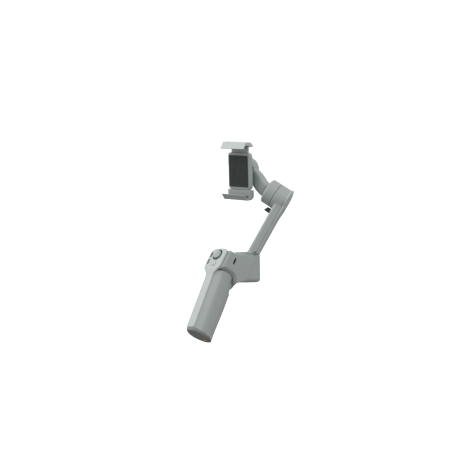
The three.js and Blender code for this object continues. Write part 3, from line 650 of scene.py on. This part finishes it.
def head_plan(depth):
    """The head from above in the panel's frame: its front corners fall away from the panel's edges."""
    w = HEAD["half"] - depth
    c = w - HEAD["chamfer"]
    d = HEAD["chamfer_depth"]
    return vectors([(-c, 6), (c, 6), (c, 0), (w, -d), (w, -90), (-w, -90), (-w, -d), (-c, 0)])


def finger_room(depth):
    """The space for the finger under the neck, as y and z."""
    start = (14 - depth, 78)
    middle = (19.4 - depth, 90 + depth / 2)
    end = (33.4, 103 + depth)
    points = vectors([end, (62, 117.9 + depth), (62, 40), (14 - depth, 66), start])
    points += quadratic(start, (18.4 - depth, 85), middle)
    points += quadratic(middle, (23.5 - depth, 98.5), end)
    return points[:-1]


SIDE_ROOM = vectors([(36, 104), (80, 127), (80, 20), (18, 56), (9.5, 74), (13.5, 84), (15, 91), (21, 97)])


def under_arch(over):
    """All that lies below the grip's arched edge. Towards the head's sides the edge is higher,
    so that the head slopes out from the grip."""
    sides = [(0, over), (15.2, over), (19.4, over + 4.1), (26, over + 4.1)]
    levels = [(-x, lift) for x, lift in reversed(sides)] + sides[1:]
    rings = []
    for x, lift in levels:
        outline = [(p.x, p.y + lift) for p in ARCH] + [(-40, 92 + lift), (-40, 0), (60, 0), (60, 60)]
        rings.append([Vector((x, y, z)) for y, z in outline])
    return skin(rings)


def finger_cutter(depth, half, flare):
    """The finger's room right through the head. A flare widens it towards the head's sides."""
    levels = []
    if flare:
        angles = [math.pi / 2 * step / 8 for step in range(9)]
        levels = [(half - flare * (1 - math.sin(a)), flare * (1 - math.cos(a))) for a in angles]
    levels.append((half + 8, flare))
    levels = [(-x, out) for x, out in reversed(levels)] + levels
    return skin([[Vector((x, p.x, p.y)) for p in finger_room(depth + out)] for x, out in levels])


def head_form(depth, bevel):
    """The head and neck as one solid, or the room within its walls."""
    half = HEAD["half"] - depth
    body = solid("head_form", prism(head_side(depth), -half, half, bevel, 3, SIDEWAYS), HANDLE)
    neck_edges = (bevel * 1.7, bevel * 0.3)
    neck = prism(neck_plan(depth), PAN_HOME["low"] + depth, PAN_HOME["high"] - depth, neck_edges, 7)
    combine(body, [solid("neck", neck, PAN)], "UNION")
    combine(body, [solid("plan", prism(head_plan(depth), -60, 100, to=FORWARDS), PANEL)], "INTERSECT")
    web_half = HEAD["web_half"] - depth  # under the neck, beside the finger
    sides = [solid("side", prism(SIDE_ROOM, low, high, to=SIDEWAYS), HANDLE)
             for low, high in ((web_half, 50), (-50, -web_half))]
    return cut(body, solid("finger", finger_cutter(depth, half, bevel * 1.5), HANDLE), *sides)


def trigger_outline(out):
    """The trigger from the side, as y and z, moved outwards."""
    lower = bezier((29.8 + out, 101.4), (25.7 + out, 97.5), (22.9 + out, 92.8), (21.4 + out, 87.5), 8)
    upper = bezier((12.6 - out, 82.6 - out), (14.2 - out, 90.9), (17.2 - out, 98.3),
                   (21.6 - out, 104.8 + out), 8)
    return lower + [Vector((17 + out, 80.4 - out))] + upper + [Vector((27.6 + out, 105.6 + out))]


def make_head_half(node, low, high):
    """One of the head's shells, softened outside and hollow inside."""
    over = prism(circle(PAN_HOME["radius"] + 1), PAN_HOME["high"], PAN_HOME["high"] + 20)
    half = head_form(0, HEAD["bevel"])
    cut(half, solid("arch", under_arch(GAP), HANDLE), solid("over", over, PAN))
    side = solid("side", prism(rectangle(-60, 120, 40, 200), low, high, to=SIDEWAYS), HANDLE)
    remeshed(combine(half, [side], "INTERSECT"), 0.55, 4)

    bore = circle(PAN_HOME["radius"] - WALL - 0.05, 72)
    well = prism(bore, PAN_HOME["low"] + WALL + 0.05, PAN_HOME["high"] + 5)
    room = combine(head_form(WALL, 0), [solid("well", well, PAN)], "UNION")
    cut(room, solid("arch", under_arch(WALL + 0.5), HANDLE))
    slot = solid("slot", prism(pill(1.9, 5.1), 8, 30, to=SIDEWAYS), AT_PORT)
    panel = skin([strip_ring(z, -GAP) for z in (84, 90, 97, 110, 124, 129, 131.9)])
    cut(half, room, slot, solid("panel_room", panel, HANDLE))

    # Room for the trigger at rest and pulled.
    pivot = Matrix.Translation(Vector(JOINT["trigger_pull"]["pos_m"]) / MM)
    reach = TRIGGER["half"] + GAP
    for degrees in (0, TRIGGER["pull"]):
        pulled = pivot @ Matrix.Rotation(math.radians(degrees), 4, -handle_right) @ pivot.inverted()
        blade = prism(trigger_outline(TRIGGER["room"]), -reach, reach, to=SIDEWAYS)
        cut(half, solid("trigger_room", blade, pulled @ HANDLE))
    half.name = node.replace("shell", "skin")
    finish(half, "handle", SHELL, [node], 40)


def make_trigger():
    """The key under the forefinger."""
    blade = prism(trigger_outline(0), -TRIGGER["half"], TRIGGER["half"], 0.8, 3, SIDEWAYS)
    finish(solid("trigger_piece", blade, HANDLE), "trigger", BLACK, ["trigger"])


def make_port():
    """The charging port's metal shell with the tongue in it."""
    port = solid("charging_port_piece", prism(pill(1.5, 4.7), 8.5, 18.4, 0.2, 2, SIDEWAYS), AT_PORT)
    cut(port, solid("hollow", prism(pill(1.0, 4.2), 10, 20, to=SIDEWAYS), AT_PORT))
    finish(port, "handle", ALLOY, ["usb_port"])
    tongue = solid("charging_port_tongue", prism(pill(0.35, 3.2), 9.8, 16.5, 0.1, 2, SIDEWAYS), AT_PORT)
    finish(tongue, "handle", BLACK)


# ---------------------------------------------------------------- arm
def below(height):
    """Everything around the arm's foot, up to a height over the pan joint."""
    return solid("under", prism(rectangle(-60, 120, -40, 40), -60, height), TURN)


def make_arm():
    """The disc over the pan motor, the slanting bar and the tilt motor's drum, softened into one."""
    d = PAN_DISC
    disc = turned([(0, d["boss_low"]), (d["boss"], d["boss_low"], 0), (d["boss"], d["low"], 0),
                   (d["radius"], d["low"], 0.3), (d["radius"], d["high"], 1.6), (0, d["high"])], 0.4, 96, 6)
    disc = solid("arm_skin", disc, TURN)
    a = ARM_BAR
    outer = COVER["inner"] - 0.1
    corners = [(a["inner"], -a["half"], 4.5), (outer, -a["half"], 1.6), (outer, a["half"], 1.6),
               (a["inner"], a["half"], 4.5)]
    bar = solid("bar", prism(eased(corners, 0), -a["length"] - 26, -4), ARM)
    cut(bar, below(d["high"] - 0.8))
    drum = turned([(0, -0.02), (MOTOR_RADIUS, -0.02, 0.3), (MOTOR_RADIUS, -a["outer"], 0.5),
                   (0, -a["outer"])], 0.4, 96)
    combine(disc, [bar, solid("drum", drum, TILT)], "UNION")
    remeshed(disc, 0.5, 9)
    inside = MOTOR_RADIUS - WALL
    room = solid("room", turned([(0, -14), (inside, -14), (inside, 4), (0, 4)], 0), TILT)
    cut(disc, room, solid("slot", prism(rectangle(3, 10, -3, 3), -31, -21), ARM))
    finish(disc, "arm", SHELL, ["arm_frame"], 50)


def make_cover():
    """The outer cover: a thin strip down the arm, which swells over the motor."""
    c = COVER
    side = eased([(c["inner"], -98, 0), (c["strip"], -98, 0), (c["strip"], -c["shoulder"], 7),
                  (c["cap"], -15, 5), (c["cap"], 4, 0), (c["inner"], 4, 0)], 0, 6)
    strip = solid("strip", prism(side, -ARM_BAR["half"], ARM_BAR["half"], 0.45, 3, FORWARDS), ARM)
    low = ARM_BAR["outer"] + 0.15
    radius = MOTOR_RADIUS - 0.1
    cap = turned([(0, low), (radius, low, 0.2), (radius, c["cap"] - 0.8, 1.4), (14, c["cap"] + 0.6, 6),
                  (0, c["cap"] + 0.9)], 0.3, 96, 6)
    cover = combine(solid("arm_cover_piece", cap, ARM @ SIDEWAYS), [strip], "UNION")
    cut(cover, below(PAN_DISC["low"] + 0.8))
    finish(cover, "arm", PALE, ["arm_outer_cover"], 40)


def make_latch():
    """The wedge under the drum, with three grooves for the nail."""
    wedge = vectors([(-4.6, -26.6), (5.1, -27.4), (5.1, -19.9), (-1.5, -19.9)])
    latch = solid("motor_lock_piece", prism(wedge, -5.2, 5.2, 0.8, 3, FORWARDS), ARM)
    grooves = [solid("groove", prism(rectangle(x, x + 0.7, -30, -26.6), -6, 6, to=FORWARDS), ARM)
               for x in (-0.2, 1.6, 3.4)]
    cut(latch, *grooves)
    finish(latch, "motor_lock", BLACK, ["motor_lock_slider"])


# ---------------------------------------------------------------- elbow
def make_elbow():
    """A softened skin over the rotor cup, the stub and the roll motor's housing."""
    source = frame["nodes"]["tilt_rotor_and_elbow"]
    elbow = bpy.data.objects.new("elbow_skin", source.data.copy())
    bpy.context.scene.collection.objects.link(elbow)
    elbow.data.transform(Matrix.Scale(1 / MM, 4))
    remeshed(elbow, 0.6, 6)
    finish(elbow, "elbow", SHELL, ["tilt_rotor_and_elbow"], 50)


def make_roll_rotor():
    """The disc between the roll motor and the clamp, with a hub and a skirt inside the housing."""
    front = ROLL_HOUSE["back"] - PLATE["back"] - GAP
    back = ROLL_HOUSE["depth"] + GAP
    radius = ROLL_HOUSE["radius"]
    rotor = turned([(0, 11.6), (4.6, 11.6, 0.3), (4.6, back + 0.2, 0), (14.5, back + 0.2, 0), (14.5, 5, 0),
                    (15.4, 5, 0), (15.4, back, 0), (radius, back, 0.3), (radius, front - 1, 0.5),
                    (16.6, front, 0.5), (0, front)], 0.4, 96)
    finish(solid("roll_rotor_piece", rotor, ROLL), "clamp", SHELL, ["roll_rotor"])


# ---------------------------------------------------------------- clamp
def make_plate():
    """The plate behind the telephone, with the slot for the upper jaw's tongue."""
    p = PLATE
    plate = prism(eased(rectangle(-p["half"], p["half"], -p["high"], p["high"]), 6, 10),
                  p["front"], p["back"], 1.1, 4, FORWARDS)
    plate = solid("clamp_plate_piece", plate, CLAMP)
    t = TONGUE
    slot = rectangle(-t["half"] - GAP, t["half"] + GAP, t["front"] - GAP, t["back"] + GAP)
    cut(plate, solid("slot", prism(slot, -20, 40), CLAMP))
    finish(plate, "clamp", SHELL, ["clamp_back_plate"])


def make_hook(name, side, leg):
    """The hook over the telephone's upper edge, or under its lower one. Its leg starts at a height."""
    rise = JAW["rise"] if side > 0 else JAW["lower_rise"]
    top = PHONE_TOP
    corners = [
        (PLATE["back"], leg, 0.8), (PLATE["back"], top + 2, 2.4), (8, top + rise, 2.4),
        (JAW["slant"], top + rise), (JAW["lip"], top - JAW["overlap"], 1.5),
        (JAW["lip"] + 3.2, top - JAW["overlap"], 0.9), (JAW["lip"] + 3.3, top - 0.5, 1),
        (JAW["lip"] + 5.1, top + 2, 1), (PLATE["front"], top + 2, 1), (PLATE["front"], leg, 0.8),
    ]
    outline = [Vector((p.x, side * p.y)) for p in eased(corners, 1.8, 7)]
    return solid(name, prism(outline, -JAW["half"], JAW["half"], 0.35, 4, SIDEWAYS), CLAMP)


def make_jaws():
    """The upper hook with the tongue that slides in the plate, and the lower hook with its screw holes."""
    upper = make_hook("upper_jaw_piece", 1, PHONE_TOP)
    t = TONGUE
    tongue = eased(rectangle(-t["half"], t["half"], t["front"], t["back"]), 0.5, 3)
    combine(upper, [solid("tongue", prism(tongue, -2, PHONE_TOP + 3), CLAMP)], "UNION")
    finish(upper, "upper_jaw", PALE, ["clamp_upper_jaw"])

    lower = make_hook("lower_jaw_piece", -1, PLATE["high"] + GAP)
    middle = (PLATE["front"] + PLATE["back"]) / 2
    seat = -PHONE_TOP - 4
    screw = [(0, -50), (2.5, -50), (2.5, seat), (1.6, seat), (1.6, 0), (0, 0)]
    cut(lower, *[solid("hole", turned(screw, 0, 40), CLAMP @ Matrix.Translation((x, middle, 0)))
                 for x in SCREW_X])
    finish(lower, "clamp", SHELL, ["clamp_lower_jaw"])


def make_pad(name, body, corners, low, high, ribs, to, node):
    """A rubber pad with fine grooves across it. Its z points out of its face, at the telephone."""
    pad = solid(name, prism(eased(corners, 0.8, 4), low, high, 0.3, 2), to)
    half = 0.35
    cut(pad, *[solid("groove", prism(rectangle(x - half, x + half, start, end), high - 0.4, high + 1), to)
               for x, start, end in ribs])
    finish(pad, body, RUBBER, [node])


def make_pads():
    """The pads in the two hooks and on the plate."""
    p = PLATE
    half = JAW["half"] - 3
    front = JAW["lip"] + 6.2
    back = p["front"] - 1.4
    ribs = [(-18 + 2 * i, front - 1, back + 1) for i in range(19)]
    pad = rectangle(-half, half, front, back)
    low = -PHONE_TOP - 1.7
    high = -PHONE_TOP - 0.2
    downwards = CLAMP @ Matrix.Diagonal((1, 1, -1, 1))
    make_pad("upper_pad_piece", "upper_jaw", pad, low, high, ribs, downwards, "upper_jaw_pad")
    make_pad("lower_pad_piece", "clamp", pad, low, high, ribs, CLAMP, "lower_jaw_pad")

    pad = rectangle(-p["half"] + 3, p["half"] - 3, -p["high"] + 4, p["high"] - 4)
    ribs = [(-17.5 + 2.5 * i, -p["high"] + 6, p["high"] - 6) for i in range(15)]
    make_pad("back_pad_piece", "clamp", pad, -p["front"] + GAP, -p["front"] + 1.3, ribs,
             CLAMP @ TO_FRONT, "back_pad")


def make_spring(node, x):
    """A wound wire between the plate and the upper jaw's tongue."""
    s = SPRING
    count = s["turns"] * s["steps"]
    rings = []
    for i in range(count + 1):
        angle = 2 * math.pi * i / s["steps"]
        out = Vector((math.cos(angle), math.sin(angle), 0))
        middle = Vector((x, s["y"], s["low"] + (s["high"] - s["low"]) * i / count)) + out * s["radius"]
        rings.append([middle + out * (s["wire"] * math.cos(t)) + Vector((0, 0, s["wire"] * math.sin(t)))
                      for t in (math.pi / 3 * k for k in range(6))])
    coil = shaded(solid(node + "_piece", skin(rings), CLAMP), STEEL, [node], 60)
    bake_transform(coil)


# ---------------------------------------------------------------- stage
def make_stage():
    """A large pale floor far below, which is only there for the camera and casts no light upwards."""
    mesh = bpy.data.meshes.new("floor")
    bm = prism(circle(6000, 64, 0, 1000), -320, -300)
    bm.transform(Matrix.Scale(MM, 4))
    bm.to_mesh(mesh)
    bm.free()
    floor = bpy.data.objects.new("floor", mesh)
    bpy.context.scene.collection.objects.link(floor)
    paint = surface("floor", srgb(250, 250, 250), 0.9, grain=40, grain_depth=0.01, mottle=0.005)
    shader = paint.node_tree.nodes["Principled BSDF"]
    shader.inputs["Emission Color"].default_value = (1, 1, 1, 1)
    shader.inputs["Emission Strength"].default_value = 0.5
    floor.data.materials.append(paint)
    floor.visible_diffuse = False
    floor.visible_glossy = False


def area_light(name, place, aim, size, power):
    """A round lamp that faces a point."""
    light = bpy.data.lights.new(name, "AREA")
    light.shape = "DISK"
    light.size = size
    light.energy = power
    lamp = bpy.data.objects.new(name, light)
    lamp.location = place
    lamp.rotation_euler = (Vector(aim) - Vector(place)).to_track_quat("-Z", "Y").to_euler()
    bpy.context.scene.collection.objects.link(lamp)


def make_light():
    """Soft light that falls off towards the ground, a large lamp in front, to the left and above, and a
    weaker one above on the right. The camera sees plain white behind the object."""
    world = bpy.data.worlds.new("studio")
    world.use_nodes = True
    nodes = world.node_tree.nodes
    links = world.node_tree.links
    place = nodes.new("ShaderNodeTexCoord")
    split = nodes.new("ShaderNodeSeparateXYZ")
    links.new(place.outputs["Generated"], split.inputs["Vector"])
    fall = nodes.new("ShaderNodeMapRange")
    fall.inputs["From Min"].default_value = -1
    fall.inputs["To Min"].default_value = 0.17
    fall.inputs["To Max"].default_value = 0.98
    links.new(split.outputs["Z"], fall.inputs["Value"])
    seen = nodes.new("ShaderNodeLightPath")
    strength = nodes.new("ShaderNodeMix")
    links.new(seen.outputs["Is Camera Ray"], strength.inputs["Factor"])
    links.new(fall.outputs["Result"], strength.inputs["A"])
    strength.inputs["B"].default_value = 1.05
    background = nodes["Background"]
    background.inputs["Color"].default_value = (1, 1, 1, 1)
    links.new(strength.outputs["Result"], background.inputs["Strength"])
    bpy.context.scene.world = world
    middle = (cad_box[0] + cad_box[1]) / 2
    area_light("key", middle + Vector((-0.9, -1.0, 1.1)), middle, 0.9, 12)
    area_light("side", middle + Vector((1.3, -0.1, 1.0)), middle, 0.6, 5)
    bpy.context.scene.view_settings.view_transform = "Standard"


CAMERA_PLACE = (1.43562, -1.32932, 0.40170)
CAMERA_ANGLES = (45.993, 7.141, -1.402)  # round to the right, up, and about the line of sight, in degrees


def make_camera():
    """The viewpoint: a long lens to the user's right, a little above the object."""
    azimuth, elevation, roll = (math.radians(angle) for angle in CAMERA_ANGLES)
    aim = Matrix.Rotation(azimuth, 4, "Z") @ Matrix.Rotation(math.pi / 2 - elevation, 4, "X")
    camera = bpy.data.objects.new("camera", bpy.data.cameras.new("camera"))
    camera.matrix_world = Matrix.Translation(CAMERA_PLACE) @ aim @ Matrix.Rotation(roll, 4, "Z")
    camera.data.lens = 112.95
    camera.data.sensor_width = 36
    bpy.context.scene.collection.objects.link(camera)
    bpy.context.scene.camera = camera


make_grip()
make_front()
make_controls()
make_foot()
make_head_half("head_shell_right", 0.1, 60)
make_head_half("head_shell_left", -60, -0.1)
make_trigger()
make_port()
make_arm()
make_cover()
make_latch()
make_elbow()
make_roll_rotor()
make_plate()
make_jaws()
make_pads()
make_spring("clamp_spring_left", -9)
make_spring("clamp_spring_right", 9)
make_stage()
make_light()
make_camera()
